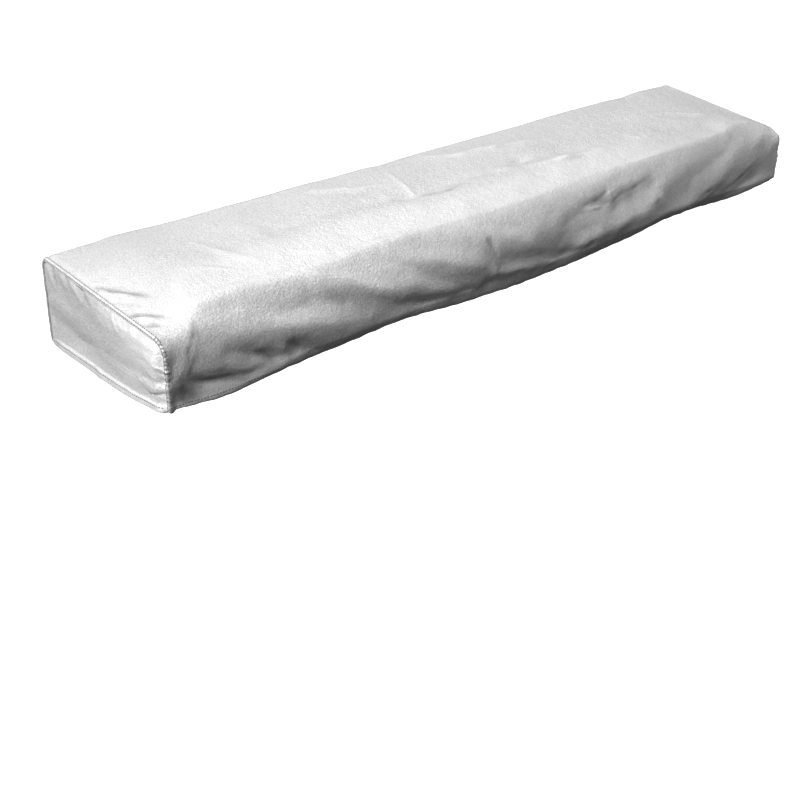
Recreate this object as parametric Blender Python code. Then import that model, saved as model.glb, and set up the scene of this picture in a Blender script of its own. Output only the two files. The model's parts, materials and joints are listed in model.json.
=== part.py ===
"""Fitted keyboard cover in silver cloth: one long panel over the back, top and front, and two end panels.

The cover is a hollow shell, open below, in the shape in which it hangs over a keyboard. Metres, +Z up.
+X runs along the cover, +Y to its back. The origin is on the underside of the top, at its middle.
"""
import math
from collections import namedtuple

import bpy
import numpy as np

# Main sizes
LENGTH = 1.400
DEPTH = 0.276
TOP_DROP = 0.039        # how far the top falls from its back edge to its front edge
BACK_HEM = -0.132       # height of the back hem, from the top's back edge
CLOTH = 0.0015          # thickness
SEAM_GAP = 0.0003       # between two panels at a seam

# Rolled edges
SEAM_ROLL = 0.005       # radius with which the long panel turns onto each end
BACK_ROLL = 0.011       # along the top's back edge
BREAK_ROLL = 0.022      # where the top breaks towards the front
HEM_ROLL = 0.012        # where a wall turns in to its hem
BACK_TURN = 0.016       # width of the back's turned-in hem
HEM_LEAN = math.radians(35.0)   # how far the turned-in part leans in from straight down
HEM_REACH = 0.035       # cloth near the hem that is drawn in at the corners too
CORNER_REACH = 0.045    # length over which the long panel draws in towards each end

# Mesh density: columns along the cover, columns round each end's roll (in degrees of turn), rows up the front
# and the back (distances over the cloth from each hem's edge), and rows across the top between them
COLUMNS = 78
ROLL_ANGLES = (30.0, 60.0, 90.0)
FRONT_ROWS = (0.0, 0.008, 0.016, 0.026, 0.040, 0.055, 0.070, 0.083, 0.094)
BACK_ROWS = (0.0, 0.008, 0.016, 0.030, 0.048, 0.070, 0.092, 0.112, 0.124)
TOP_ROWS = 17
ARC_STEPS = 8           # straight steps in each rounded corner of the section
ARC_SHARE = 0.48        # share of each side of a corner that its arc may use
STRAIGHT = 0.01         # a corner that turns less than this, in radians, isn't rounded
PROBE = 0.0004          # step with which slopes are measured
SHARP_ANGLE = math.radians(50.0)

SILVER = (0.78, 0.78, 0.80, 1.0)
ROUGHNESS = 0.45

# The shape across the cover at places along it. break_y is where the top tips over to the front, rise how far
# that line stands above the straight top, chin_z and chin_r the height and radius of the front's upper bend,
# hem_z the height of the front hem, and turn the width of its turned-in part.
Station = namedtuple("Station", "x break_y rise chin_z chin_r hem_z turn")
STATIONS = (
    Station(-0.700, -0.085, 0.000, -0.039, 0.028, -0.1395, 0.015),
    Station(-0.660, -0.087, 0.002, -0.044, 0.040, -0.1400, 0.018),
    Station(-0.615, -0.088, 0.003, -0.060, 0.060, -0.1412, 0.022),
    Station(-0.540, -0.084, 0.003, -0.062, 0.070, -0.1391, 0.026),
    Station(-0.300, -0.086, 0.003, -0.062, 0.070, -0.1311, 0.026),
    Station(-0.120, -0.083, 0.003, -0.062, 0.070, -0.1451, 0.026),
    Station(0.030, -0.090, 0.003, -0.062, 0.070, -0.1479, 0.026),
    Station(0.220, -0.078, 0.003, -0.060, 0.070, -0.1430, 0.026),
    Station(0.406, -0.089, 0.003, -0.062, 0.070, -0.1336, 0.026),
    Station(0.560, -0.084, 0.002, -0.062, 0.065, -0.1419, 0.022),
    Station(0.660, -0.080, 0.001, -0.056, 0.050, -0.1385, 0.018),
    Station(0.700, -0.078, 0.000, -0.039, 0.012, -0.1340, 0.015),
)

# Folds of the long panel. Each runs from (x0, v0) to (x1, v1), where v is the distance over the cloth from the
# front hem's edge. Its height changes from out0 to out1; a trough has a negative height.
Fold = namedtuple("Fold", "x0 v0 x1 v1 width out0 out1")
FRONT_FOLDS = (
    Fold(-0.683, 0.092, -0.687, 0.055, 0.010, -0.006, -0.005),
    Fold(-0.645, 0.120, -0.660, 0.084, 0.013, 0.002, 0.003),
    Fold(-0.664, 0.076, -0.676, 0.034, 0.012, 0.004, 0.002),
    Fold(-0.628, 0.112, -0.646, 0.082, 0.012, -0.002, -0.005),
    Fold(-0.672, 0.022, -0.648, 0.014, 0.012, -0.008, -0.004),
    Fold(-0.640, 0.040, -0.582, 0.018, 0.015, -0.006, -0.009),
    Fold(-0.577, 0.052, -0.527, 0.034, 0.016, -0.007, -0.009),
    Fold(-0.502, 0.040, -0.468, 0.026, 0.014, -0.008, -0.007),
    Fold(-0.444, 0.096, -0.400, 0.070, 0.020, -0.009, -0.009),
    Fold(-0.382, 0.060, -0.305, 0.056, 0.016, -0.006, -0.007),
    Fold(-0.285, 0.082, -0.228, 0.068, 0.018, -0.007, -0.008),
    Fold(-0.206, 0.061, -0.138, 0.056, 0.016, -0.007, -0.009),
    Fold(-0.103, 0.098, -0.096, 0.048, 0.010, -0.003, -0.005),
    Fold(-0.070, 0.066, 0.053, 0.052, 0.019, -0.008, -0.008),
    Fold(-0.085, 0.036, 0.063, 0.018, 0.013, 0.004, 0.004),
    Fold(0.100, 0.086, 0.220, 0.118, 0.020, -0.009, -0.006),
    Fold(0.090, 0.044, 0.190, 0.084, 0.016, 0.004, 0.004),
    Fold(0.205, 0.068, 0.325, 0.108, 0.017, -0.008, -0.006),
    Fold(0.220, 0.036, 0.380, 0.102, 0.018, 0.005, 0.004),
    Fold(0.305, 0.030, 0.475, 0.108, 0.018, -0.007, -0.010),
    Fold(0.380, 0.030, 0.560, 0.092, 0.019, 0.005, 0.004),
    Fold(0.500, 0.014, 0.640, 0.070, 0.015, -0.007, -0.010),
    Fold(0.580, 0.024, 0.682, 0.056, 0.012, 0.003, 0.002),
)
TOP_FOLDS = (
    Fold(-0.686, 0.287, -0.625, 0.232, 0.018, 0.002, 0.002),
    Fold(-0.690, 0.252, -0.640, 0.196, 0.012, -0.002, -0.001),
    Fold(-0.690, 0.166, -0.650, 0.143, 0.012, -0.002, -0.001),
    Fold(-0.550, 0.232, -0.470, 0.170, 0.022, 0.001, 0.003),
    Fold(-0.292, 0.236, -0.142, 0.244, 0.024, -0.002, -0.003),
    Fold(-0.112, 0.326, -0.120, 0.232, 0.014, 0.002, 0.003),
    Fold(-0.048, 0.278, 0.090, 0.310, 0.018, -0.002, -0.001),
    Fold(0.085, 0.339, 0.250, 0.310, 0.016, 0.002, 0.003),
    Fold(0.050, 0.244, 0.205, 0.216, 0.018, 0.002, 0.003),
    Fold(0.205, 0.216, 0.370, 0.214, 0.018, 0.003, 0.002),
    Fold(0.230, 0.262, 0.420, 0.262, 0.026, -0.003, -0.002),
    Fold(0.480, 0.200, 0.600, 0.160, 0.024, -0.002, -0.003),
    Fold(0.575, 0.266, 0.662, 0.178, 0.020, 0.002, 0.003),
)
BACK_FOLDS = (
    Fold(-0.610, 0.382, -0.560, 0.455, 0.022, -0.003, -0.006),
    Fold(-0.330, 0.395, -0.380, 0.460, 0.024, -0.003, -0.006),
    Fold(-0.080, 0.385, -0.020, 0.455, 0.024, -0.003, -0.005),
    Fold(0.250, 0.390, 0.190, 0.460, 0.022, -0.002, -0.006),
    Fold(0.560, 0.382, 0.610, 0.450, 0.022, -0.003, -0.006),
)

# Folds of the end panels, from (y0, z0) to (y1, z1), in heights from the top's back edge.
EndFold = namedtuple("EndFold", "y0 z0 y1 z1 width out0 out1")
LEFT_FOLDS = (
    EndFold(0.112, -0.018, 0.084, -0.080, 0.014, -0.003, -0.002),
    EndFold(0.070, -0.022, 0.022, -0.075, 0.014, -0.003, -0.004),
    EndFold(0.020, -0.030, -0.050, -0.100, 0.016, 0.003, 0.004),
    EndFold(-0.030, -0.034, -0.102, -0.100, 0.015, -0.002, -0.004),
    EndFold(0.080, -0.098, -0.090, -0.118, 0.012, 0.003, 0.004),
)
RIGHT_FOLDS = (
    EndFold(0.095, -0.022, 0.060, -0.090, 0.016, -0.003, -0.002),
    EndFold(0.030, -0.026, -0.020, -0.100, 0.016, 0.003, 0.004),
    EndFold(-0.040, -0.034, -0.095, -0.095, 0.015, -0.004, -0.002),
    EndFold(0.085, -0.100, -0.085, -0.116, 0.012, 0.003, 0.003),
)

# How far an end panel's hem hangs below the straight line between its corners, from front (0) to back (1).
HemSag = namedtuple("HemSag", "at down")
END_HEM = (HemSag(0.0, 0.0), HemSag(0.24, 0.009), HemSag(0.57, 0.008), HemSag(0.85, 0.003), HemSag(1.0, 0.0))

# Distances over which folds die out beside a seam
LONG_FADE = 0.020
END_FADE = 0.014


def smooth_column(rows, place, column, at):
    """Value of one column of a table at the given place, on a smooth curve through its rows."""
    places = np.array([getattr(row, place) for row in rows])
    values = np.array([getattr(row, column) for row in rows])
    slopes = np.gradient(values, places)
    k = np.clip(np.searchsorted(places, at, side="right") - 1, 0, len(places) - 2)
    span = places[k + 1] - places[k]
    t = np.clip((at - places[k]) / span, 0.0, 1.0)
    start = (2 * t ** 3 - 3 * t ** 2 + 1) * values[k] + (t ** 3 - 2 * t ** 2 + t) * span * slopes[k]
    end = (3 * t ** 2 - 2 * t ** 3) * values[k + 1] + (t ** 3 - t ** 2) * span * slopes[k + 1]
    return start + end


def ease(t):
    """Soft step from 0 to 1."""
    t = np.clip(t, 0.0, 1.0)
    return t * t * (3.0 - 2.0 * t)


def unit(vector):
    return vector / np.linalg.norm(vector, axis=-1, keepdims=True)


def round_corners(points, radii):
    """The polyline through the points, with each inner corner turned on an arc of its radius."""
    points = [np.array(point) for point in points]
    line = [points[0]]
    for before, corner, after, radius in zip(points, points[1:], points[2:], radii):
        back = unit(before - corner)
        ahead = unit(after - corner)
        turn = math.pi - math.acos(float(np.clip(back @ ahead, -1.0, 1.0)))
        if turn < STRAIGHT:
            line.append(corner)
            continue
        room = ARC_SHARE * min(np.linalg.norm(before - corner), np.linalg.norm(after - corner))
        reach = min(radius * math.tan(turn / 2), room)
        true_radius = reach / math.tan(turn / 2)
        inward = unit(ahead - (ahead @ back) * back)
        centre = corner + back * reach + inward * true_radius
        for step in range(ARC_STEPS + 1):
            angle = turn * step / ARC_STEPS
            line.append(centre - true_radius * (math.cos(angle) * inward + math.sin(angle) * back))
    line.append(points[-1])
    return np.array(line)


def top_height(y):
    """Height of the straight top at a depth, from the top's back edge."""
    return -TOP_DROP * (0.5 - y / DEPTH)


def section(x):
    """The cloth's line across the cover at x, from the front hem's edge to the back hem's edge, as (y, z)."""
    at = {name: smooth_column(STATIONS, "x", name, x) for name in Station._fields[1:]}
    half = DEPTH / 2
    front_in, front_up = at["turn"] * math.sin(HEM_LEAN), at["turn"] * math.cos(HEM_LEAN)
    back_in, back_up = BACK_TURN * math.sin(HEM_LEAN), BACK_TURN * math.cos(HEM_LEAN)
    points = (
        (-half + front_in, at["hem_z"]),
        (-half, at["hem_z"] + front_up),
        (-half, at["chin_z"]),
        (at["break_y"], top_height(at["break_y"]) + at["rise"]),
        (half, 0.0),
        (half, BACK_HEM + back_up),
        (half - back_in, BACK_HEM),
    )
    return round_corners(points, (HEM_ROLL, at["chin_r"], BREAK_ROLL, BACK_ROLL, HEM_ROLL))


def rows_across(line):
    """Points on a section line, and their distances over the cloth from the front hem's edge."""
    run = np.concatenate([[0.0], np.cumsum(np.linalg.norm(np.diff(line, axis=0), axis=1))])
    total = run[-1]
    top = np.linspace(FRONT_ROWS[-1], total - BACK_ROWS[-1], TOP_ROWS + 1)[1:-1]
    v = np.concatenate([FRONT_ROWS, top, total - np.array(BACK_ROWS[::-1])])
    return np.column_stack([np.interp(v, run, line[:, 0]), np.interp(v, run, line[:, 1])]), v


def fold_height(folds, a, b):
    """Height that the folds add at places (a, b) on the cloth."""
    height = np.zeros_like(a)
    for a0, b0, a1, b1, width, out0, out1 in folds:
        along = np.clip(((a - a0) * (a1 - a0) + (b - b0) * (b1 - b0)) / ((a1 - a0) ** 2 + (b1 - b0) ** 2), 0, 1)
        off = (a - a0 - along * (a1 - a0)) ** 2 + (b - b0 - along * (b1 - b0)) ** 2
        height += (out0 + along * (out1 - out0)) * np.exp(-off / width ** 2)
    return height


def base_surface(turns):
    """Unfolded long panel: a grid of points for places along it, given as distances over the cloth from its
    middle, with the distance across the cloth of each point."""
    flat_half = LENGTH / 2 - SEAM_ROLL
    grid, across = [], []
    for along in turns:
        angle = max(abs(along) - flat_half, 0.0) / SEAM_ROLL
        x = math.copysign(min(abs(along), flat_half) + SEAM_ROLL * math.sin(angle), along)
        points, v = rows_across(section(x))
        lip = np.where(np.minimum(v, v[-1] - v) < HEM_REACH, DEPTH / 2 - np.abs(points[:, 0]), 0.0)
        slope = unit(np.gradient(points, v, axis=0))
        points = points + np.column_stack([slope[:, 1], -slope[:, 0]]) * SEAM_ROLL * (1 - math.cos(angle))
        draw = ease((abs(x) - LENGTH / 2) / CORNER_REACH + 1.0)
        grid.append(np.column_stack([x - math.copysign(draw, x) * lip, points]))
        across.append(v)
    return np.array(grid), np.array(across)


def long_panel_surface(turns):
    """Outer surface of the long panel with its folds, its outward directions, and its directions along X."""
    points, v = base_surface(turns)
    ahead, _ = base_surface([along + PROBE for along in turns])
    behind, _ = base_surface([along - PROBE for along in turns])
    normals = unit(np.cross(ahead - behind, np.gradient(points, axis=1)))
    x = points[:, :, 0]
    fade = ease((LENGTH / 2 - SEAM_ROLL - np.abs(x)) / LONG_FADE)
    height = fold_height(FRONT_FOLDS + TOP_FOLDS + BACK_FOLDS, x, v) * fade
    return points + normals * height[:, :, None], normals, unit(ahead - behind)


def three_sides(ring):
    """The front, top and back stretches of a line that runs from the front hem over the top to the back hem."""
    high = len(FRONT_ROWS) - 1
    return ring[: high + 1], ring[high : len(ring) - high], ring[::-1][: high + 1]


def end_panel_surface(ring, ring_normals, side, folds):
    """Outer surface and outward directions of an end panel that fills its seam line."""
    front, top, back = three_sides(ring)
    high, wide = len(front) - 1, len(top) - 1
    s = np.linspace(0.0, 1.0, wide + 1)[:, None, None]
    t = np.linspace(0.0, 1.0, high + 1)[None, :, None]
    sag = smooth_column(END_HEM, "at", "down", s[:, 0, 0])
    bottom = (1 - s[:, 0]) * front[0] + s[:, 0] * back[0] - sag[:, None] * np.array([0.0, 0.0, 1.0])
    grid = (1 - t) * bottom[:, None] + t * top[:, None] + (1 - s) * front[None] + s * back[None]
    grid -= (1 - s) * (1 - t) * front[0] + s * (1 - t) * back[0] + (1 - s) * t * front[-1] + s * t * back[-1]
    y, z = grid[:, :, 1], grid[:, :, 2]
    inside = np.minimum(np.minimum(y - ring[:, 1].min(), ring[:, 1].max() - y), top[:, 2][:, None] - z)
    grid[:, :, 0] += side * fold_height(folds, y, z) * ease(inside / END_FADE)
    normals = unit(np.cross(np.gradient(grid, axis=0), np.gradient(grid, axis=1)))
    normals *= np.sign(normals[:, :, :1]) * side
    normals[0], normals[:, -1], normals[-1] = three_sides(ring_normals)
    return grid, normals


def shell(name, outer, normals):
    """Closed cloth of even thickness below a grid of outer points."""
    inner = outer - normals * CLOTH
    columns, rows = outer.shape[:2]
    size = columns * rows
    verts = np.concatenate([outer.reshape(-1, 3), inner.reshape(-1, 3)])
    faces = []
    for i in range(columns - 1):
        for j in range(rows - 1):
            a, b, c, d = i * rows + j, (i + 1) * rows + j, (i + 1) * rows + j + 1, i * rows + j + 1
            faces += [(a, b, c, d), (a + size, d + size, c + size, b + size)]
    rim = [i * rows for i in range(columns)] + [(columns - 1) * rows + j for j in range(1, rows)]
    rim += [i * rows + rows - 1 for i in range(columns - 2, -1, -1)] + [j for j in range(rows - 2, 0, -1)]
    faces += [(q, p, p + size, q + size) for p, q in zip(rim, rim[1:] + rim[:1])]
    mesh = bpy.data.meshes.new(name)
    mesh.from_pydata(verts.tolist(), [], faces)
    mesh.update()
    if signed_volume(verts, faces) < 0:
        mesh.flip_normals()
    mesh.shade_smooth()
    mesh.set_sharp_from_angle(angle=SHARP_ANGLE)
    mesh.materials.append(cloth_material(name))
    thing = bpy.data.objects.new(name, mesh)
    bpy.context.collection.objects.link(thing)
    return thing


def signed_volume(verts, faces):
    corners = verts[np.array(faces)]
    first = np.cross(corners[:, 1], corners[:, 2])
    second = np.cross(corners[:, 2], corners[:, 3])
    return float((corners[:, 0] * (first + second)).sum()) / 6


def cloth_material(name):
    material = bpy.data.materials.new(name)
    material.use_nodes = True
    shader = material.node_tree.nodes["Principled BSDF"]
    shader.inputs["Base Color"].default_value = SILVER
    shader.inputs["Roughness"].default_value = ROUGHNESS
    shader.inputs["Metallic"].default_value = 0.0
    return material


def main():
    for thing in list(bpy.data.objects):
        bpy.data.objects.remove(thing)
    flat_half = LENGTH / 2 - SEAM_ROLL
    rolled = [flat_half + SEAM_ROLL * math.radians(angle) for angle in ROLL_ANGLES]
    body = [float(along) for along in np.linspace(-flat_half, flat_half, COLUMNS + 1)]
    turns = [-along for along in reversed(rolled)] + body + rolled
    outer, normals, along = long_panel_surface(turns)
    middle = len(turns) // 2
    row = int(np.argmin(np.abs(outer[middle, :, 1])))
    underside = outer[middle, row] - normals[middle, row] * CLOTH
    origin = np.array([0.0, 0.0, underside[2]])
    shell("main_panel", outer - origin, normals)
    for name, side, column, folds in (
        ("end_panel_left", -1, 0, LEFT_FOLDS),
        ("end_panel_right", 1, -1, RIGHT_FOLDS),
    ):
        seam = outer[column] + side * along[column] * SEAM_GAP
        grid, outward = end_panel_surface(seam, normals[column], side, folds)
        shell(name, grid - origin, outward)


main()
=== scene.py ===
# %% [markdown]
# # A fitted keyboard cover in silver cloth
# The real cover is three pieces of thin woven polyester. One long panel runs up the back, over the top and down
# the front, an end panel is sewn in on the left and another on the right, and a hem is turned in all round.
# Nothing stiffens it, so its shape is the shape of what it hangs over, softened by slack and by pulled seams.
#
# The imported model comes first. It is the fixed frame: every piece of cloth made here stands for one of its solids
# and keeps to the same box within a few millimetres.

# %% Load the imported model
import json
import math
from collections import namedtuple

import bpy
import numpy as np
from mathutils import Matrix, Vector

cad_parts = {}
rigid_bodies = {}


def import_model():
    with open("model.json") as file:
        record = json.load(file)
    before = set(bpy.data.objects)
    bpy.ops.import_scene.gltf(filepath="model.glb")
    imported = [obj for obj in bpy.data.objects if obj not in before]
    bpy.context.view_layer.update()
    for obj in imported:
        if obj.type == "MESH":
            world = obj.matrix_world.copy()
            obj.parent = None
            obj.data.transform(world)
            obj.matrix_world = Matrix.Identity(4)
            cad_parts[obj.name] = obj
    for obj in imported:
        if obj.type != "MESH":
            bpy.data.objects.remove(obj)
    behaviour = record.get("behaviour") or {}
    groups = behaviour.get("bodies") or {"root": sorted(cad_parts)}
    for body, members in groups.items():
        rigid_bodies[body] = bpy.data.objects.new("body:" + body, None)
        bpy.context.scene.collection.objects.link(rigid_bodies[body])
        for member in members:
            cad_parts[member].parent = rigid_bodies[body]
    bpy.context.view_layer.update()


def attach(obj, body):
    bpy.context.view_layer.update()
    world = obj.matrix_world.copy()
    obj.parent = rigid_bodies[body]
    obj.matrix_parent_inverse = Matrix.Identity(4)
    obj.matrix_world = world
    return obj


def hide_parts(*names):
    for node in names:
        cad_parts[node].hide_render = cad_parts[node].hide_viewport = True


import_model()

# %% [markdown]
# ## The camera
# The camera is set before the cloth, because every fold is judged from where the picture was taken: to the left
# of the cover's front, a little above it. An azimuth of 0 would look along +Y. The lens follows from the picture's
# width in pixels and the focal length in pixels, so that perspective is the same and not only the angle.

# %% Place the camera
PICTURE_WIDTH = 800
FOCAL_PIXELS = 1300.0
SENSOR_MM = 36.0
CAMERA_PLACE = Vector((-1.495, -1.348, 0.6442))
AZIMUTH = math.radians(-44.66)
ELEVATION = math.radians(27.34)
ROLL = math.radians(0.62)


def add_object(name, data):
    """A new object in the scene that holds the data."""
    thing = bpy.data.objects.new(name, data)
    bpy.context.scene.collection.objects.link(thing)
    return thing


lens = bpy.data.cameras.new("camera")
lens.sensor_width = SENSOR_MM
lens.lens = FOCAL_PIXELS * SENSOR_MM / PICTURE_WIDTH
camera = add_object("camera", lens)
turned = Matrix.Rotation(AZIMUTH, 4, "Z") @ Matrix.Rotation(math.pi / 2 - ELEVATION, 4, "X")
camera.matrix_world = Matrix.Translation(CAMERA_PLACE) @ turned @ Matrix.Rotation(ROLL, 4, "Z")
bpy.context.scene.camera = camera
print("lens:", round(lens.lens, 1), "mm")

# %% [markdown]
# ## The shape across the cover
# A cutter's pattern for the long panel is a plain strip, but hung up it has a section that changes along the
# cover: the top slopes to the front, tips over, bulges into a rounded chin and drops to a hem that turns in.
# The section could be drawn by hand at every place. Here a short table holds it at thirteen places along x: where
# the top breaks over the front and how far it rises there, the height and radius of the chin, the height of the
# hem's edge, and how much cloth turns in to it. A smooth curve through each column gives it anywhere between, so
# the cloth flows from one place to the next.

# %% The cover's sizes, and its section at places along it
LENGTH = 1.400
DEPTH = 0.276
TOP_DROP = 0.039        # how far the top falls from its back edge to its front edge
BACK_HEM = -0.132       # heights are from the top's sharp back edge
EDGE_HEIGHT = 0.0202    # height of that edge in the model's frame
BACK_ROLL, BREAK_ROLL, HEM_ROLL, SEAM_ROLL = 0.013, 0.013, 0.012, 0.0042
BACK_TURN = 0.007
HEM_LEAN = math.radians(35.0)

Station = namedtuple("Station", "x break_y rise chin_z chin_r hem_z turn")
STATIONS = (
    Station(-0.700, -0.083, 0.000, -0.039, 0.028, -0.1350, 0.004),
    Station(-0.660, -0.080, 0.002, -0.044, 0.040, -0.1376, 0.004),
    Station(-0.615, -0.078, 0.003, -0.060, 0.060, -0.1380, 0.004),
    Station(-0.540, -0.075, 0.003, -0.062, 0.070, -0.1352, 0.009),
    Station(-0.420, -0.077, 0.003, -0.062, 0.070, -0.1374, 0.021),
    Station(-0.300, -0.077, 0.003, -0.062, 0.070, -0.1326, 0.014),
    Station(-0.120, -0.088, 0.003, -0.062, 0.070, -0.1490, 0.026),
    Station(0.030, -0.094, 0.003, -0.062, 0.070, -0.1529, 0.026),
    Station(0.220, -0.087, 0.003, -0.060, 0.070, -0.1483, 0.026),
    Station(0.406, -0.095, 0.003, -0.062, 0.070, -0.1364, 0.026),
    Station(0.560, -0.091, 0.002, -0.062, 0.065, -0.1439, 0.020),
    Station(0.660, -0.088, 0.001, -0.061, 0.060, -0.1385, 0.012),
    Station(0.700, -0.116, -0.002, -0.050, 0.010, -0.1340, 0.006),
)


def smooth_column(rows, place, column, at):
    """Value of one column of a table at the given place, on a smooth curve through its rows."""
    places = np.array([getattr(row, place) for row in rows])
    values = np.array([getattr(row, column) for row in rows])
    slopes = np.gradient(values, places)
    k = np.clip(np.searchsorted(places, at, side="right") - 1, 0, len(places) - 2)
    span = places[k + 1] - places[k]
    t = np.clip((at - places[k]) / span, 0.0, 1.0)
    start = (2 * t ** 3 - 3 * t ** 2 + 1) * values[k] + (t ** 3 - 2 * t ** 2 + t) * span * slopes[k]
    end = (3 * t ** 2 - 2 * t ** 3) * values[k + 1] + (t ** 3 - t ** 2) * span * slopes[k + 1]
    return start + end


def ease(t):
    """Soft step from 0 to 1."""
    t = np.clip(t, 0.0, 1.0)
    return t * t * (3.0 - 2.0 * t)


def unit(vector):
    return vector / np.maximum(np.linalg.norm(vector, axis=-1, keepdims=True), 1e-12)


# %% [markdown]
# Corners between straight stretches are turned on true arcs. Many short steps go into each arc, because a smooth
# shaded surface shows every flat step as a band of light.

# %% Round the section's corners
ARC_STEPS = 36
ARC_SHARE = 0.48        # share of each side of a corner that its arc may use
STRAIGHT = 0.01         # a corner that turns less than this, in radians, isn't rounded


def round_corners(points, radii):
    """A line through the points, with its corners turned on arcs of these radii."""
    points = [np.array(point) for point in points]
    line = [points[0]]
    for before, corner, after, radius in zip(points, points[1:], points[2:], radii):
        back, ahead = unit(before - corner), unit(after - corner)
        turn = math.pi - math.acos(float(np.clip(back @ ahead, -1.0, 1.0)))
        if turn < STRAIGHT:
            line.append(corner)
            continue
        room = ARC_SHARE * min(np.linalg.norm(before - corner), np.linalg.norm(after - corner))
        reach = min(radius * math.tan(turn / 2), room)
        true_radius = reach / math.tan(turn / 2)
        inward = unit(ahead - (ahead @ back) * back)
        centre = corner + back * reach + inward * true_radius
        for step in range(ARC_STEPS + 1):
            angle = turn * step / ARC_STEPS
            line.append(centre - true_radius * (math.cos(angle) * inward + math.sin(angle) * back))
    line.append(points[-1])
    return np.array(line)


def section(x):
    """The cloth's line across the cover at x, from the front hem's edge to the back hem's edge, as (y, z)."""
    at = {name: float(smooth_column(STATIONS, "x", name, x)) for name in Station._fields[1:]}
    half = DEPTH / 2
    top_at_break = -TOP_DROP * (0.5 - at["break_y"] / DEPTH) + at["rise"]
    points = (
        (-half + at["turn"] * math.sin(HEM_LEAN), at["hem_z"]),
        (-half, at["hem_z"] + at["turn"] * math.cos(HEM_LEAN)),
        (-half, at["chin_z"]),
        (at["break_y"], top_at_break),
        (half, 0.0),
        (half, BACK_HEM + BACK_TURN * math.cos(HEM_LEAN)),
        (half - BACK_TURN * math.sin(HEM_LEAN), BACK_HEM),
    )
    return round_corners(points, (HEM_ROLL, at["chin_r"], BREAK_ROLL, BACK_ROLL, HEM_ROLL))


middle_line = section(0.0)

# %% [markdown]
# ## A fine grid for the long panel
# The panel is a grid of points. One direction runs along the cover, and the other over the cloth from the front
# hem's edge to the back hem's edge, in metres of cloth, so a place on the grid is also a place on the flat
# pattern. Points stand close together at the seams and on the front, where the creases are fine, and further
# apart on the back. Towards each end the panel rolls over a small radius onto the seam.

# %% Lay out the grid
SEAM_TURN = SEAM_ROLL * math.pi / 2
FLAT_HALF = LENGTH / 2 - SEAM_ROLL
RIM = FLAT_HALF + SEAM_TURN             # where the long panel's cut edge lies, in metres of cloth from its middle
HEM_REACH = 0.035                       # cloth near the hem that is drawn in at the corners
CORNER_REACH = 0.045                    # length over which the panel draws in towards each end
FRONT_CLOTH, BACK_CLOTH = 0.134, 0.130  # stretches of cloth at the front and back with their own spacing
FRONT_STEP, BACK_STEP, TOP_STEPS = 0.0017, 0.0062, 66
HALF_LENGTH = ((0.0, 0.640, 0.0036), (0.640, 0.688, 0.0024), (0.688, RIM, 0.0008))      # start, end, step
PROBE = 0.0004                          # how far to each side of a place its slope is measured


def spaced(*stretches):
    """Places along a line, from stretches of (start, end, step), with an even number of steps in each."""
    places = [stretches[0][0]]
    for start, end, step in stretches:
        steps = 2 * math.ceil((end - start) / step / 2)
        places += [start + (end - start) * k / steps for k in range(1, steps + 1)]
    return np.array(places)


right_half = spaced(*HALF_LENGTH)
along_places = np.concatenate([-right_half[:0:-1], right_half])
front_rows = spaced((0.0, FRONT_CLOTH, FRONT_STEP))
back_rows = spaced((0.0, BACK_CLOTH, BACK_STEP))


def rows_across(line):
    """Points on a section line, and their distances over the cloth from the front hem's edge."""
    run = np.concatenate([[0.0], np.cumsum(np.linalg.norm(np.diff(line, axis=0), axis=1))])
    top = np.linspace(FRONT_CLOTH, run[-1] - BACK_CLOTH, TOP_STEPS + 1)[1:-1]
    v = np.concatenate([front_rows, top, run[-1] - back_rows[::-1]])
    return np.column_stack([np.interp(v, run, line[:, 0]), np.interp(v, run, line[:, 1])]), v


def base_surface(places):
    """Unfolded long panel at places along it, with each point's distance over the cloth from the front hem."""
    grid, across = [], []
    for along in places:
        angle = max(abs(along) - FLAT_HALF, 0.0) / SEAM_ROLL
        x = math.copysign(min(abs(along), FLAT_HALF) + SEAM_ROLL * math.sin(angle), along)
        points, v = rows_across(section(x))
        lip = np.where(np.minimum(v, v[-1] - v) < HEM_REACH, DEPTH / 2 - np.abs(points[:, 0]), 0.0)
        slope = unit(np.gradient(points, v, axis=0))
        points = points + np.column_stack([slope[:, 1], -slope[:, 0]]) * SEAM_ROLL * (1 - math.cos(angle))
        draw = float(ease((abs(x) - LENGTH / 2) / CORNER_REACH + 1.0))
        grid.append(np.column_stack([x - math.copysign(draw, x) * lip, points]))
        across.append(v)
    return np.array(grid), np.array(across)


base, cloth_v = base_surface(along_places)
ahead, _ = base_surface(along_places + PROBE)
behind, _ = base_surface(along_places - PROBE)
outward = unit(np.cross(ahead - behind, np.gradient(base, axis=1)))
cloth_x = np.repeat(along_places[:, None], base.shape[1], axis=1)
print("grid:", base.shape[0], "by", base.shape[1], "points")

# %% [markdown]
# ## Folds
# Slack cloth makes soft hollows where it hangs and ridges where it is pulled. Each row of the tables below is one
# run over the flat pattern, in millimetres: its width to the left and to the right, how crisp it is, and the
# points that it goes through, each with its height. A hollow is steeper above than below, because the cloth over
# it hangs out before it tucks in, so the two widths differ. A crisp run has a sharp line, as where cloth was once
# folded. Cloth simulation could make folds of its own, but these have to be the cover's own, in their own places.

# %% A fold's height over the cloth
Fold = namedtuple("Fold", "a0 b0 a1 b1 left right out0 out1 crisp")
END_TAPER = 1.5         # how much longer a fold takes to die out at its ends than at its sides
CRISP_EDGE, CRISP_FALL, CRISP_REACH = 0.12, 1.5, 0.25   # a sharp line's roundness, steepness and fading
WAVES = (0.75, 1.5)     # shortest and longest wave of an uneven field, as shares of its size


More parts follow.
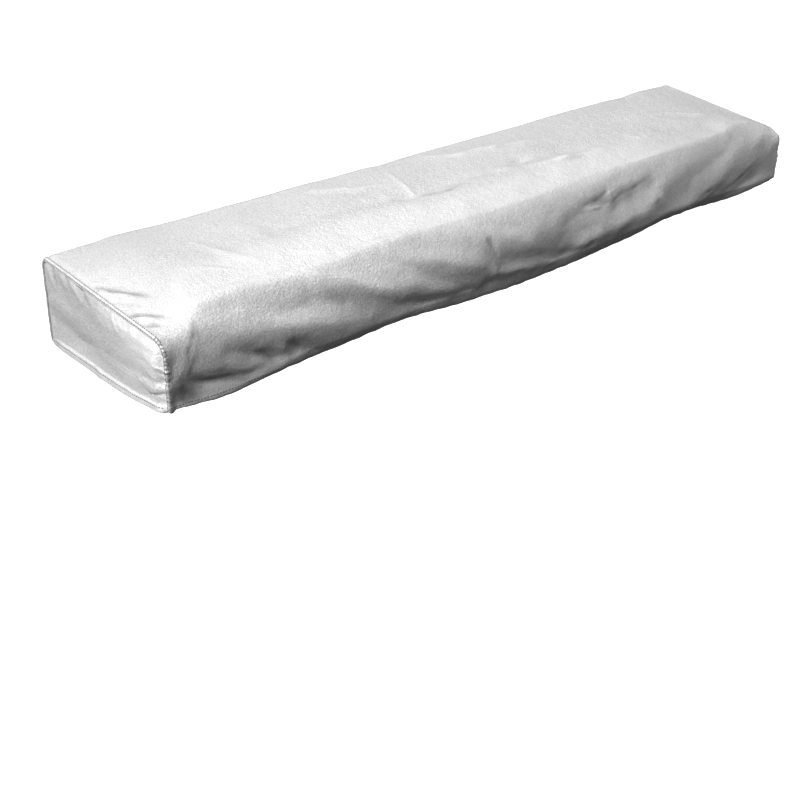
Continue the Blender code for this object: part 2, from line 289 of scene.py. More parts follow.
def fold_runs(*runs):
    """Straight folds in metres from runs in millimetres: left, right, crisp, (a, b, height), (a, b, height) ..."""
    made = []
    for left, right, crisp, *points in runs:
        for (a0, b0, out0), (a1, b1, out1) in zip(points, points[1:]):
            made.append(Fold(*(value / 1000 for value in (a0, b0, a1, b1, left, right, out0, out1)), crisp))
    return made


def fold_height(folds, a, b):
    """Height of all these folds together at places on the pattern."""
    height = np.zeros_like(a)
    for fold in folds:
        run_a, run_b = fold.a1 - fold.a0, fold.b1 - fold.b0
        reach = math.hypot(run_a, run_b)
        share = ((a - fold.a0) * run_a + (b - fold.b0) * run_b) / reach ** 2
        inside = np.clip(share, 0.0, 1.0)
        across = ((b - fold.b0) * run_a - (a - fold.a0) * run_b) / reach
        sideways = across / np.where(across > 0, fold.left, fold.right)
        beyond = (share - inside) * reach / (END_TAPER * (fold.left + fold.right) / 2)
        far = sideways ** 2 + beyond ** 2
        sharp = np.exp(-CRISP_FALL * (np.sqrt(far + CRISP_EDGE ** 2) - CRISP_EDGE) - CRISP_REACH * far)
        shape = (1 - fold.crisp) * np.exp(-far) + fold.crisp * sharp
        height += (fold.out0 + inside * (fold.out1 - fold.out0)) * shape
    return height


def uneven(a, b, size, seed, waves=9):
    """Smooth irregular field, mostly between -1 and 1, with hollows about the given size apart."""
    draw = np.random.default_rng(seed)
    field = np.zeros_like(a)
    for _ in range(waves):
        angle, phase = draw.uniform(0, math.pi), draw.uniform(0, 2 * math.pi)
        rate = 2 * math.pi / (size * draw.uniform(*WAVES))
        field += np.sin(rate * (a * math.cos(angle) + b * math.sin(angle)) + phase)
    return field / math.sqrt(waves)


# %% [markdown]
# The front first. It hangs from the chin in a row of hollows: small pockets just above the hem on the left, a long
# dent under the middle, and diagonal drags on the right, where the cloth is pulled towards the far corner.

# %% Folds of the front
FRONT_FOLDS = fold_runs(
    (14, 10, 0.1, (-700, 60, -4.5), (-678, 76, -1.2)),
    (6, 12, 0.2, (-643, 108, 1.2), (-672, 56, 1.6)),
    (6, 9, 0.2, (-672, 56, 1.4), (-679, 40, 0.6)),
    (8, 4.5, 0.2, (-636, 104, -0.3), (-664, 56, -0.3)),
    (22, 22, 0.1, (-692, 0, -17), (-666, -2, -12)),
    (9, 17.5, 0.3, (-646, 36, -6.5), (-628, 33, -6.5)),
    (6, 18, 0.3, (-633, 29, -6.5), (-569, 18, -6.5)),
    (12.5, 15.5, 0.2, (-600, 56, -4.2), (-566, 53, -3.7)),
    (13, 14.5, 0.3, (-568, 40, -4.4), (-529, 22, -6.5)),
    (13, 22.5, 0.3, (-511, 40, -5.6), (-460, 17, -6.5)),
    (24.5, 32, 0.1, (-621, 44, 6), (-547, -1, 2.7)),
    (10.5, 7.5, 0.1, (-516, 37, 3.9), (-494, 18, -2.5)),
    (27.5, 17.5, 0.0, (-625, 98, 2.5), (-561, 65, 5.7)),
    (19.5, 26.5, 0.1, (-533, 87, -2.3), (-457, 81, -7.3)),
    (11, 14, 0.3, (-439, 95, -4.8), (-401, 64, -7.2)),
    (10, 30.5, 0.2, (-368, 66, -7), (-340, 51, -8.2)),
    (8, 11.5, 0.2, (-321, 35, -0.7), (-244, 29, -4.9)),
    (13, 19, 0.1, (-420, 120, 3.6), (-340, 60, 5.7)),
    (14, 24.5, 0.1, (-504, 62, 7.6), (-359, 34, 6.1)),
    (11, 23, 0.2, (-291, 95, -2), (-206, 50, -3.7)),
    (16.5, 16, 0.2, (-217, 83, 3.2), (-107, 55, 5.8)),
    (14, 21.5, 0.1, (-315, 57, 6), (-210, 38, 6)),
    (21.5, 23.5, 0.3, (-107, 102, 3), (-101, 48, -9.5)),
    (17, 12, 0.3, (-87, 102, 0.3), (-97, 51, 6.8)),
    (12, 19.5, 0.1, (-82, 64, -1.8), (68, 36, -4.3)),
    (8.5, 9.5, 0.1, (-113, 46, 3.6), (49, 26, 3.3)),
    (14, 15, 0.1, (-77, 99, 4.2), (-6, 61, 3.3)),
    (23, 13.5, 0.1, (-3, 89, 2.5), (33, 117, 0.8)),
    (17.5, 21.5, 0.2, (83, 83, -6.2), (120, 97, -2.3)),
    (15.5, 22, 0.2, (127, 91, -4.7), (240, 121, -2.6)),
    (15, 11.5, 0.1, (117, 45, 8.5), (210, 77, -5.4)),
    (21.5, 20, 0.2, (183, 88, -8.8), (235, 93, -1.6)),
    (30, 22, 0.2, (258, 85, -9.5), (344, 110, -1.2)),
    (13.5, 18, 0.1, (156, 46, 8.5), (320, 53, 8)),
    (20, 18.5, 0.1, (315, 86, -5.5), (392, 103, 0.5)),
    (17.5, 16.5, 0.2, (319, 49, -3.1), (405, 77, -1.1)),
    (25.5, 21.5, 0.2, (424, 67, -4.5), (529, 99, -5.1)),
    (20, 30.5, 0.1, (405, 26, 8), (498, 54, 6)),
    (24, 23.5, 0.1, (475, 84, -1.2), (605, 146, 4.1)),
    (11, 15, 0.2, (449, 6, -2.5), (502, 34, -2)),
    (19.5, 29, 0.2, (494, 69, -1.4), (576, 117, -3.8)),
    (16.5, 25, 0.1, (585, 78, -1.5), (665, 101, -0.5)),
    (22, 18, 0.4, (528, 14, -2.8), (626, 24, -6)),
    (24.5, 30, 0.3, (605, 29, -1.8), (665, 66, -2.8)),
    (14.5, 13.5, 0.1, (546, 56, -1.8), (660, 99, 2.7)),
    (11.5, 18, 0.0, (-665, -1, 3.5), (-470, 1, 3.5)),
    (11, 14, 0.0, (-247, 21, -6.4), (96, 28, -3.6)),
    (15.5, 29.5, 0.0, (298, 31, 5.9), (420, 8, 2.7)),
    (13, 18, 0.0, (540, -2, 1.7), (684, 4, 3.9)),
    (13, 26.5, 0.0, (-603, 127, 3.9), (-255, 126, 3.9)),
    (15.5, 20, 0.0, (-190, 99, -3.5), (185, 113, -1.8)),
    (25.5, 35, 0.0, (172, 117, 2.8), (650, 128, 6)),
)
print("folds of the front:", len(FRONT_FOLDS))

# %% [markdown]
# The top is nearly flat, with long low ridges that a picture catches only as faint streaks. The back isn't seen in
# the picture, so it gets a few plain hanging folds of the kind that the front has.

# %% Folds of the top and the back
TOP_FOLDS = fold_runs(
    (100, 45, 0.0, (-640, 245, 6), (-615, 160, 6)),
    (4, 14, 0.3, (-691, 242, 2.2), (-663, 200, 1.8)),
    (4, 12, 0.3, (-694, 159, 2), (-677, 148, 2)),
    (12, 12, 0.3, (-517, 255, 0.6), (-478, 185, 0.8)),
    (10, 10, 0.3, (-423, 274, 0.7), (-420, 244, 0.7)),
    (14, 14, 0.1, (-400, 240, -1.8), (-150, 240, -2.5), (120, 250, -2.5)),
    (14, 14, 0.1, (120, 248, -2.5), (250, 228, -1.8)),
    (12, 12, 0.2, (-60, 222, 1.2), (70, 236, 2.5)),
    (12, 12, 0.3, (70, 236, 2.5), (200, 211, 2.8), (300, 199, 1.5)),
    (8, 8, 0.3, (-112, 320, 0.5), (-130, 238, 0.8)),
    (8, 8, 0.4, (-256, 314, 1.2), (-190, 289, 1.4)),
    (12, 12, 0.3, (10, 340, 1.4), (80, 315, 0.8)),
    (10, 10, 0.3, (59, 325, 2), (128, 312, 2.4), (204, 296, 1.2)),
    (26, 26, 0.0, (230, 262, -2.5), (420, 262, -2)),
    (24, 24, 0.1, (480, 200, -2), (600, 160, -3)),
    (10, 10, 0.4, (536, 254, 0.8), (604, 208, 1), (681, 161, 0.6)),
)
BACK_FOLDS = fold_runs(
    (22, 22, 0.2, (-610, 382, -3), (-560, 455, -6)),
    (24, 24, 0.2, (-330, 395, -3), (-380, 460, -6)),
    (24, 24, 0.2, (-80, 385, -3), (-20, 455, -5)),
    (22, 22, 0.2, (250, 390, -2), (190, 460, -6)),
    (22, 22, 0.2, (560, 382, -3), (610, 450, -6)),
)
print("folds of the top and the back:", len(TOP_FOLDS), len(BACK_FOLDS))

# %% [markdown]
# ## Creases
# Creases are finer than folds: short sharp lines where the cloth was folded in its bag, tucks beside the corner
# seams, thin streaks on the top and the small crumple of the front. They are runs of the same kind, only narrow
# and low, so the same functions raise them.

# %% Creases of the long panel
# The crisp rows also paint light: a painted highlight on a ridge, painted shade in a groove, and broad ones near
# the front hem paint shade into the deepest pockets.
CREASES = fold_runs(
    (4.5, 4.5, 0.8, (-690, 244, -1.4), (-679, 226, -1.8), (-662, 202, -1.8), (-648, 177, -0.5)),
    (4, 4, 0.8, (-689, 198, -0.7), (-674, 179, -0.4)),
    (4.5, 4.5, 0.8, (-692, 163, -2), (-683, 161, -2), (-670, 147, -1.6), (-655, 132, -0.4)),
    (4, 4, 0.8, (-692, 135, -1.1), (-681, 131, -1.4), (-677, 127, -0.7)),
    (4, 4, 0.8, (-695, 123, -0.8), (-689, 112, -0.5)),
    (4.5, 4.5, 0.8, (-566, 211, -0.4), (-544, 198, -1), (-514, 178, -0.4)),
    (4.5, 4.5, 0.8, (-567, 206, 0.4), (-544, 193, 0.8), (-521, 176, 0.4)),
    (4.5, 4.5, 0.8, (-518, 263, 0.3), (-502, 226, 0.6), (-474, 186, 0.3)),
    (5, 5, 0.8, (-256, 317, 0.8), (-212, 303, 1.2), (-182, 293, 1), (-155, 293, 0.5)),
    (4.5, 4.5, 0.8, (-108, 330, 0.5), (-124, 269, 0.9), (-130, 235, 0.8)),
    (4.5, 4.5, 0.8, (-132, 232, -0.8), (-68, 228, -0.9), (-34, 235, -0.3)),
    (4, 4, 0.8, (-408, 176, 0.6), (-376, 158, 0.6)),
    (5, 5, 0.8, (-9, 351, 0.6), (50, 321, 1)),
    (6, 6, 0.8, (62, 329, 0.8), (100, 321, 1.2), (207, 298, 0.6)),
    (5.5, 5.5, 0.8, (62, 231, 0.3), (182, 211, 0.8), (283, 198, 0.5)),
    (4.5, 4.5, 0.8, (375, 236, 0.4), (395, 194, 0.7), (440, 195, 0.4)),
    (4.5, 4.5, 0.8, (540, 257, 0.4), (607, 210, 0.7), (689, 168, 0.4)),
    (4.5, 4.5, 0.8, (509, 240, 0.5), (538, 209, 0.4)),
    (3.6, 3.6, 0.7, (-643, 106, -0.4), (-650, 94, -0.9), (-664, 78, -1), (-678, 46, -0.8)),
    (5, 5, 0.7, (-102, 98, -1.6), (-95, 48, -1.2)),
    (6, 8, 0.4, (-425, 94, -1), (-395, 74, -0.8)),
    (9, 4, 0.4, (-655, 35, -1.2), (-595, 14, -1.6)),
    (8, 5, 0.4, (-585, 52, -1), (-532, 20, -1.2)),
    (9, 6, 0.6, (-662, 34, -0.6), (-605, 24, -1.4)),
    (6, 5, 0.6, (-605, 24, -1.4), (-578, 9, -0.6)),
    (7, 5, 0.6, (-578, 50, -0.5), (-548, 37, -1.4), (-527, 16, -0.6)),
    (9, 7, 0.6, (-505, 41, -1), (-472, 18, -0.8)),
    (5, 5, 0.6, (-416, 90, -0.3), (-396, 74, -0.4)),
    (6, 8, 0.6, (-677, 38, -1), (-669, 20, -1.8)),
    (6, 4.5, 0.6, (-695, 75, -0.7), (-683, 83, -0.3)),
    (8.5, 8.5, 0.6, (-677, 26, -1.2), (-664, 14, -1.8)),
    (6, 6, 0.6, (-672, 12, -1), (-655, 8, -0.6)),
    (3.6, 3.6, 0.7, (133, 94, 0.6), (162, 90, 1), (191, 85, 0.6)),
    (6, 4.5, 0.6, (133, 103, -0.7), (162, 104, -1)),
    (4.5, 6, 0.6, (162, 104, -1), (191, 110, -0.6)),
    (4, 4, 0.7, (207, 122, 0.5), (201, 107, 0.8), (195, 90, 0.5)),
    (5, 6, 0.6, (206, 89, -1), (233, 101, -0.7)),
    (6, 6, 0.6, (233, 96, -0.7), (269, 98, -0.9)),
    (6, 5, 0.6, (269, 98, -0.9), (313, 103, -0.4)),
    (5, 6, 0.6, (281, 54, -0.5), (308, 56, -0.9)),
    (6, 5, 0.6, (308, 56, -0.9), (344, 57, -0.4)),
    (5, 5, 0.6, (433, 31, -0.6), (465, 38, -0.9), (495, 46, -0.4)),
    (5.5, 5.5, 0.6, (521, 25, -0.5), (583, 41, -0.9), (636, 59, -0.4)),
)
print("creases:", len(CREASES))

# %% [markdown]
# ## All the relief of the long panel
# An uneven field shifts the folds' lines, so that none runs quite straight. The hem is stiff with its layers, so
# folds are held lower near it, and the slack top swells a little between its two edges. A sharp crease's height
# also gives a tone, which the material reads as painted light: a painted highlight on a ridge and painted shade in
# a groove.

# %% Raise the folds
STRAY_X, STRAY_V, CREASE_STRAY = 0.0020, 0.0016, 0.4    # how far folds stray, and the share of it for creases
SLACK, RUMPLE = 0.0004, 0.0001          # heights of the long and the short waves of slack cloth
HEM_HOLD, HOLD_REACH = 0.35, 0.030      # share of a fold's height left at the stiff hem, and how far it is felt
PUFF, PUFF_LEAN = 0.0154, 0.7           # the top's swell, and its lean to the front
PUFF_FRONT, PUFF_BACK, PUFF_ENDS = 0.150, 0.376, 0.110  # where it starts and stops, and its fade at the ends
CREASE_DEPTH, CRISP_FROM = 0.0015, 0.5  # height at which a crease shows its full painted light, and how crisp it has to be
LONG_FADE = 0.010                       # length over which folds die out at a seam


def painted_light_tone(rows, a, b):
    """Painted light of the sharp creases: 1 for a painted highlight on a ridge, -1 for painted shade in a groove, 0
    elsewhere.
    """
    return np.clip(fold_height([row for row in rows if row.crisp > CRISP_FROM], a, b) / CREASE_DEPTH, -1.0, 1.0)


def long_panel_relief(x, v):
    """Height of the long panel's folds and creases, in metres along its outward direction."""
    stray_x = STRAY_X * uneven(x, v, size=0.060, seed=11)
    stray_v = STRAY_V * uneven(x, v, size=0.050, seed=12)
    folds = fold_height(FRONT_FOLDS + TOP_FOLDS + BACK_FOLDS, x + stray_x, v + stray_v)
    creases = fold_height(CREASES, x + CREASE_STRAY * stray_x, v + CREASE_STRAY * stray_v)
    slack = SLACK * uneven(x, v, size=0.110, seed=13) + RUMPLE * uneven(x, v, size=0.030, seed=14)
    held = HEM_HOLD + (1 - HEM_HOLD) * ease(v / HOLD_REACH)
    over = np.clip((v - PUFF_FRONT) / (PUFF_BACK - PUFF_FRONT), 0.0, 1.0)
    puff = PUFF * over ** PUFF_LEAN * (1 - over) * ease((FLAT_HALF - np.abs(x)) / PUFF_ENDS)
    return held * folds + creases + slack + puff


to_seam = FLAT_HALF - np.abs(cloth_x)
relief = long_panel_relief(cloth_x, cloth_v) * ease(to_seam / LONG_FADE)
print("folds reach from", round(1000 * relief.min(), 1), "to", round(1000 * relief.max(), 1), "mm")

# %% [markdown]
# ## Felled seams and their puckers
# A felled seam is stitched twice. The allowances lie under the strip between the two rows, so the strip stands
# proud, and each row pulls itself into a shallow groove. The thread is shorter than the cloth, which makes little
# puckers: ridges that start at the seam and die out within a finger's width. They are strongest down the corner.

# %% Raise the seam strip and its puckers
SEAM_ROW_1, SEAM_ROW_2 = 0.0013, 0.0053         # the two stitch rows, from the long panel's cut edge
STRIP_HEIGHT, STRIP_PAST, STRIP_SLOPE = 0.0006, 0.0022, 0.0018  # the strip, its reach past row 2 and its fall
GROOVE, GROOVE_WIDTH = 0.0004, 0.0009
PUCKER_PITCH, PUCKER_GAPS = 0.0075, (0.6, 1.5)  # their spacing, and how uneven it is
PUCKER_WIDTHS, PUCKER_REACHES = (0.0017, 0.0034), (0.003, 0.008)
PUCKER_HEIGHTS, OUT_SHARE, SINK = (0.3, 1.0), 0.6, -0.9     # their shares of height, and how many don't sink
PUCKER_SPREAD, PUCKERED = 0.012, 0.07           # distance at which one is twice as wide, and past which none is
LEAN, LEAN_UNDER = 0.25, -0.15                  # how they lean along the seam, on the long panel and on the end
TOP_PUCKER, FRONT_PUCKER, BACK_PUCKER = 0.0003, 0.0014, 0.0004      # heights over the top, and added below it
FRONT_TALL, BACK_TALL, PUCKER_FADE = 0.112, 0.118, 0.03             # how far up the deep ones go, and their fade
AT_HEM = 0.55                                   # share of their height at the front hem
Pucker = namedtuple("Pucker", "at width reach height")


def seam_strip(to_edge):
    """Height over the end of the long panel, by the distance from its cut edge."""
    strip = STRIP_HEIGHT * ease((SEAM_ROW_2 + STRIP_PAST - to_edge) / STRIP_SLOPE)
    rows = sum(np.exp(-((to_edge - row) / GROOVE_WIDTH) ** 2) for row in (SEAM_ROW_1, SEAM_ROW_2))
    return strip - GROOVE * rows


def make_puckers(length, strength, seed):
    """Uneven puckers along a seam of that length. strength gives their height by the distance along it."""
    draw = np.random.default_rng(seed)
    puckers = []
    at = PUCKER_PITCH / 2
    while at < length:
        height = float(strength(at)) * draw.uniform(*PUCKER_HEIGHTS) ** 2
        height *= 1 if draw.random() < OUT_SHARE else SINK
        puckers.append(Pucker(at, draw.uniform(*PUCKER_WIDTHS), draw.uniform(*PUCKER_REACHES), height))
        at += PUCKER_PITCH * draw.uniform(*PUCKER_GAPS)
    return puckers


def pucker_height(puckers, from_seam, along_seam, slant):
    """Height of puckers at a distance from the seam. They lean along it by slant times that distance."""
    height = np.zeros_like(from_seam)
    for pucker in puckers:
        off = along_seam - slant * from_seam - pucker.at
        wide = pucker.width * (1 + from_seam / PUCKER_SPREAD)
        height += pucker.height * np.exp(-(off / wide) ** 2 - (from_seam / pucker.reach) ** 1.5)
    return height


def seam_strength(v, total):
    """Pucker height along a seam: fine over the top, deep down the front and back corners."""
    front = FRONT_PUCKER * ease((FRONT_TALL - v) / PUCKER_FADE) * (AT_HEM + (1 - AT_HEM) * ease(v / PUCKER_FADE))
    back = BACK_PUCKER * ease((v - (total - BACK_TALL)) / PUCKER_FADE)
    return TOP_PUCKER + front + back


total_cloth = float(cloth_v[0, -1])
SIDES = ((-1, "left"), (1, "right"))
puckers = {side: make_puckers(total_cloth, lambda v: seam_strength(v, total_cloth), 30 + side)
           for side, _ in SIDES}
to_edge = RIM - np.abs(cloth_x)
from_seam = np.maximum(to_edge - SEAM_ROW_2, 0.0)
seam_relief = seam_strip(to_edge)
for side, _ in SIDES:
    here = (cloth_x * side > 0) & (to_edge < PUCKERED)
    seam_relief[here] += pucker_height(puckers[side], from_seam[here], cloth_v[here], LEAN)
print("puckers at each end:", len(puckers[1]))

# %% [markdown]
# ## Hems
# The hem is the same cloth, turned in twice and stitched. Its edge is three layers thick, the stitch row sinks
# between them, and the free edge ripples a little, because the thread gathers it.

# %% Thicken and ripple the hem of the long panel
HEM_ROW, ROW_DEPTH, ROW_WIDTH = 0.0075, 0.0004, 0.0016      # the stitch row from the hem's edge, and its groove
HEM_LAYERS, LAYERS_PAST, LAYERS_SLOPE = 0.0007, 0.0030, 0.0020      # thickness, reach past the row, and fall
RIPPLE, RIPPLE_REACH = 0.0003, 0.012
GATHER, GATHER_REACH = 0.00012, 0.014


def hem_relief(from_edge, along, seed):
    """Height near a hem, by the distance from its edge and the place along it."""
    layers = HEM_LAYERS * ease((HEM_ROW + LAYERS_PAST - from_edge) / LAYERS_SLOPE)
    row = ROW_DEPTH * np.exp(-((from_edge - HEM_ROW) / ROW_WIDTH) ** 2)
    ripple = uneven(along, along * 0.0, size=0.030, seed=seed, waves=5) * np.exp(-from_edge / RIPPLE_REACH)
    gather = uneven(along, from_edge * 0.3, size=0.009, seed=seed + 1) * np.exp(-(from_edge / GATHER_REACH) ** 2)
    return layers - row + RIPPLE * ripple + GATHER * gather


from_front, from_back = cloth_v, cloth_v[:, -1:] - cloth_v
hems = hem_relief(from_front, cloth_x, 51) + hem_relief(from_back, cloth_x, 53)
height = relief + seam_relief + hems * ease(to_seam / LONG_FADE)
long_outer = base + outward * height[:, :, None]
long_outer[:, :, 2] += EDGE_HEIGHT
print("long panel stands", round(1000 * float(long_outer[:, :, 2].max() - long_outer[:, :, 2].min())), "mm tall")

# %% [markdown]
# ## From a grid to closed cloth
# Cloth has two sides. The outer side takes every point of the grid, and the inner side, which is seen only from
# below, takes every second one, which saves a third of the triangles. Faces with five corners join the two round
# the rim, so the mesh is closed. The flat pattern becomes the UV map, in metres, for the weave to follow.

# %% Make a closed shell
CLOTH = 0.0009          # thickness
SHARP_ANGLE = math.radians(55.0)


def surface_directions(grid, like):
    """Outward directions of a finished grid."""
    direction = unit(np.cross(np.gradient(grid, axis=0), np.gradient(grid, axis=1)))
    return direction * np.sign((direction * like).sum(axis=2, keepdims=True))


def rim_loop(columns, rows):
    """Point numbers round the rim of a grid, in order."""
    loop = [i * rows for i in range(columns)]
    loop += [(columns - 1) * rows + j for j in range(1, rows)]
    loop += [i * rows + rows - 1 for i in range(columns - 2, -1, -1)]
    return loop + list(range(rows - 2, 0, -1))


def grid_faces(columns, rows, first, turned):
    """Square faces between the points of a grid, numbered from first."""
    i, j = np.meshgrid(np.arange(columns - 1), np.arange(rows - 1), indexing="ij")
    a = (first + i * rows + j).ravel()
    corners = (a, a + rows, a + rows + 1, a + 1)
    return np.column_stack(corners[::-1] if turned else corners).tolist()


def add_piece(name, mesh):
    """A finished piece, with its triangles counted."""
    mesh.calc_loop_triangles()
    print(name, "has", len(mesh.loop_triangles), "triangles")
    return add_object(name, mesh)


def cloth_shell(name, outer, like, flat, painted_tone):
    """A piece of cloth from the grid of its outer side, its places on the flat pattern and its tone of painted
    light and shade.
    """
    inner = (outer - surface_directions(outer, like) * CLOTH)[::2, ::2]
    columns, rows = outer.shape[:2]
    first = columns * rows
    faces = grid_faces(columns, rows, 0, False)
    faces += grid_faces(inner.shape[0], inner.shape[1], first, True)
    around, under = rim_loop(columns, rows), rim_loop(*inner.shape[:2])
    for k, (p, q) in enumerate(zip(under, under[1:] + under[:1])):
        a, b, c = around[2 * k], around[2 * k + 1], around[(2 * k + 2) % len(around)]
        faces.append((c, b, a, p + first, q + first))
    points = np.concatenate([outer.reshape(-1, 3), inner.reshape(-1, 3)])
    pattern = np.concatenate([flat.reshape(-1, 2), flat[::2, ::2].reshape(-1, 2)])
    mesh = bpy.data.meshes.new(name)
    mesh.from_pydata(points.tolist(), [], faces)
    corner_points = np.zeros(len(mesh.loops), dtype=np.int32)
    mesh.loops.foreach_get("vertex_index", corner_points)
    layer = mesh.uv_layers.new(name="pattern")
    layer.data.foreach_set("uv", pattern[corner_points].astype(np.float32).ravel())
    # The tone stored on the points is painted light and shade for the material.
    painted_tones = np.concatenate([painted_tone.ravel(), np.zeros(inner.size // 3)]).astype(np.float32)
    mesh.attributes.new("painted_light_tone", "FLOAT", "POINT").data.foreach_set("value", painted_tones)
    way = np.cross(outer[1, 0] - outer[0, 0], outer[0, 1] - outer[0, 0])
    if float(way @ like[0, 0]) < 0:
        mesh.flip_normals()
    mesh.shade_smooth()
    mesh.set_sharp_from_angle(angle=SHARP_ANGLE)
    return add_piece(name, mesh)


# %% [markdown]
# ## Painted sheen and shade on the top
# A painted highlight, standing for the silvery face's sheen, runs in a band along the crest of the front, which
# dips to the corner on the left, and painted shade darkens the back left corner of the top. Painting a picture of
# that would tie it to one size, so it is worked out from the place on the pattern, added to the painted light of
# the creases, and stored on the mesh's points for the material.

# %% Paint light and shade on the long panel and close it
PAINTED_SHEEN, PAINTED_BACK_SHADE = 0.80, 0.14                                 # how much brighter the painted highlight band is, and darker the painted shade of the corner
CREST_LOW, CREST_HIGH = (0.126, 0.014), (0.235, -0.050)     # edges of the band over the cloth, with their fades
CREST_LEFT, CREST_RIGHT = (-0.72, 0.10), (0.48, -0.20)      # and along the cover
DIP, LOW_DIP, HIGH_DIP = (-0.580, -0.080), 0.020, 0.070     # where the band dips to the corner, and how far
BACK_SHADE_OVER, BACK_SHADE_ALONG = (0.260, 0.060), (-0.500, -0.100)
PATCHY = 0.15                                               # share of the painted highlight that comes and goes


def ramp(value, start, fade):
    """Soft step that leaves 0 at start and gets to 1 a fade further on, or further back where that is negative."""
    return ease((value - start) / fade)


# Painted highlight along the crest for the sheen, and painted shade at the back left corner of the top.
dip = ramp(cloth_x, *DIP)
painted_sheen = PAINTED_SHEEN * ramp(cloth_v + LOW_DIP * dip, *CREST_LOW) * ramp(cloth_v + HIGH_DIP * dip, *CREST_HIGH)
painted_sheen *= ramp(cloth_x, *CREST_LEFT) * ramp(cloth_x, *CREST_RIGHT)
painted_sheen *= 1 - PATCHY + PATCHY * uneven(cloth_x, cloth_v, size=0.06, seed=15)
painted_back_shade = PAINTED_BACK_SHADE * ramp(cloth_v, *BACK_SHADE_OVER) * ramp(cloth_x, *BACK_SHADE_ALONG)
painted_tone = np.clip(painted_light_tone(CREASES, cloth_x, cloth_v) + painted_sheen - painted_back_shade, -1.0, 1.0)
long_panel = cloth_shell("long_panel", long_outer, outward, np.dstack([cloth_x, cloth_v]), painted_tone)

# %% [markdown]
# ## End panels
# Each end panel is cut to the shape of the end and sewn in, so its edge has to follow the long panel's seam
# exactly. A Coons patch does that: it fills a frame of four edge lines, three of them read from the finished long
# panel and the fourth a hem that sags between the corners. The frame lies just under the long panel's cut edge.

# %% Fill an end with a patch
END_COLUMNS, END_ROWS = 180, 104
FRONT_CORNER, BACK_CORNER = 0.094, 0.124        # cloth from each hem to the patch's upper corners
TUCK = 0.0030                                   # how far the end panel reaches under the long panel's edge
HemSag = namedtuple("HemSag", "at down")
END_HEM = [HemSag(*row) for row in ((0.0, 0.0), (0.08, 0.0020), (0.25, 0.0060), (0.45, 0.0066), (0.62, 0.0040),
                                    (0.85, -0.0010), (0.96, -0.0020), (1.0, 0.0))]
LAYER_GAP = 0.0002                              # air between the two layers of a seam
long_directions = surface_directions(long_outer, outward)


def between(points, v, start, end, steps):
    """Points at even steps of cloth along a line, from distance start to distance end."""
    at = np.linspace(start, end, steps + 1)
    return np.column_stack([np.interp(at, v, points[:, k]) for k in range(3)]), at


def end_patch(side):
    """Flat filling of an end's frame, with the seam lines round it and their distances over the cloth."""
    column = int(np.argmin(np.abs(along_places - side * (RIM - TUCK))))
    under = long_directions[column] * (CLOTH + LAYER_GAP)
    ring, v = long_outer[column] - under, cloth_v[column]
    front, front_v = between(ring, v, 0.0, FRONT_CORNER, END_ROWS)
    top, top_v = between(ring, v, FRONT_CORNER, v[-1] - BACK_CORNER, END_COLUMNS)
    back, back_v = between(ring, v, v[-1], v[-1] - BACK_CORNER, END_ROWS)
    s = np.linspace(0.0, 1.0, END_COLUMNS + 1)[:, None, None]
    t = np.linspace(0.0, 1.0, END_ROWS + 1)[None, :, None]
    sag = smooth_column(END_HEM, "at", "down", s[:, 0, 0])
    bottom = (1 - s[:, 0]) * front[0] + s[:, 0] * back[0] - sag[:, None] * np.array([0.0, 0.0, 1.0])
    grid = (1 - t) * bottom[:, None] + t * top[:, None] + (1 - s) * front[None] + s * back[None]
    grid -= (1 - s) * (1 - t) * front[0] + s * (1 - t) * back[0] + (1 - s) * t * front[-1] + s * t * back[-1]
    return grid, s[:, :, 0], (front, front_v), (top, top_v), (back, back_v)


def cloth_from_hem(grid):
    """Distance over the cloth from the hem's edge, up each column of an end panel."""
    steps = np.linalg.norm(np.diff(grid[:, :, 1:], axis=1), axis=2)
    return np.concatenate([np.zeros((len(grid), 1)), np.cumsum(steps, axis=1)], axis=1)


left_patch = end_patch(-1)[0]
print("end panel:", left_patch.shape[:2], "points,", round(1000 * np.ptp(left_patch[:, :, 1])), "mm deep")

# %% [markdown]
# The folds of each end are runs like those of the long panel, over the end's own depth and height. Short tucks lie
# below the top seam, where the end was eased in, and beside the front seam.

# %% Folds of the end panels
LEFT_FOLDS = fold_runs(
    (52, 24, 0.0, (-30, -52, 6), (-112, -66, 8.5)),
    (34, 14, 0.1, (124, -90, -2), (56, -100, -2.4)),
    (30, 12, 0.1, (56, -100, -2.4), (-35, -124, -1.2)),
    (16, 14, 0.0, (120, -62, 1.8), (60, -70, 1)),
    (14, 14, 0.1, (12, -60, -1), (-10, -95, -1)),
    (10, 10, 0.1, (-104, -102, 1.6), (-128, -97, 1.6)),
)
RIGHT_FOLDS = fold_runs(
    (16, 16, 0.2, (95, -22, -3), (60, -90, -2)),
    (16, 16, 0.1, (30, -26, 3), (-20, -100, 4)),
    (15, 15, 0.2, (-40, -34, -4), (-95, -95, -2)),
    (12, 12, 0.1, (85, -100, 3), (-85, -116, 3)),
)
